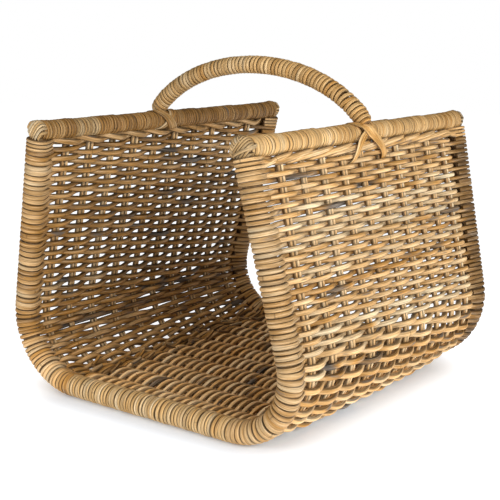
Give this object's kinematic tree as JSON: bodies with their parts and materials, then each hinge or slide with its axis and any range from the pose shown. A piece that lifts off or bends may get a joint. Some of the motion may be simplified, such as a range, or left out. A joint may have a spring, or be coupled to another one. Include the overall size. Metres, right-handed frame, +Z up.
{
  "type": "open-ended log basket",
  "caption": "Open-ended log basket of woven cane: a cradle on bound end hoops, with bound rails along the tops of its walls and an arched handle.",
  "frame": {"origin": "on the floor, under the centre of the basket's box", "axes": "+X across from the left rail to the right rail, +Y along the rails from the front to the rear, +Z up"},
  "size_m": [0.3898, 0.442, 0.3716],
  "materials": {
    "pole": "peeled rattan pole, dull",
    "binding_cane": "split cane wound round the poles, satin",
    "stake_cane": "round cane, dull",
    "weaver_cane": "round cane with its skin on, satin",
    "pin_steel": "plain square nail"
  },
  "bodies": {
    "root": {"corner_pins": "pin_steel", "floor_weave": "weaver_cane", "front_base_binding": "binding_cane", "front_hoop": "pole", "front_left_leg_binding": "binding_cane", "front_right_leg_binding": "binding_cane", "handle": "pole", "handle_binding": "binding_cane", "left_corner_weave": "weaver_cane", "left_lashing": "binding_cane", "left_rail": "pole", "left_rail_binding": "binding_cane", "left_wale": "weaver_cane", "left_wall_weave": "weaver_cane", "rail_caps": "binding_cane", "rear_base_binding": "binding_cane", "rear_hoop": "pole", "rear_left_leg_binding": "binding_cane", "rear_right_leg_binding": "binding_cane", "right_corner_weave": "weaver_cane", "right_lashing": "binding_cane", "right_rail": "pole", "right_rail_binding": "binding_cane", "right_wale": "weaver_cane", "right_wall_weave": "weaver_cane", "stake_pair_1": "stake_cane", "stake_pair_10": "stake_cane", "stake_pair_2": "stake_cane", "stake_pair_3": "stake_cane", "stake_pair_4": "stake_cane", "stake_pair_5": "stake_cane", "stake_pair_6": "stake_cane", "stake_pair_7": "stake_cane", "stake_pair_8": "stake_cane", "stake_pair_9": "stake_cane"}
  },
  "joints": []
}
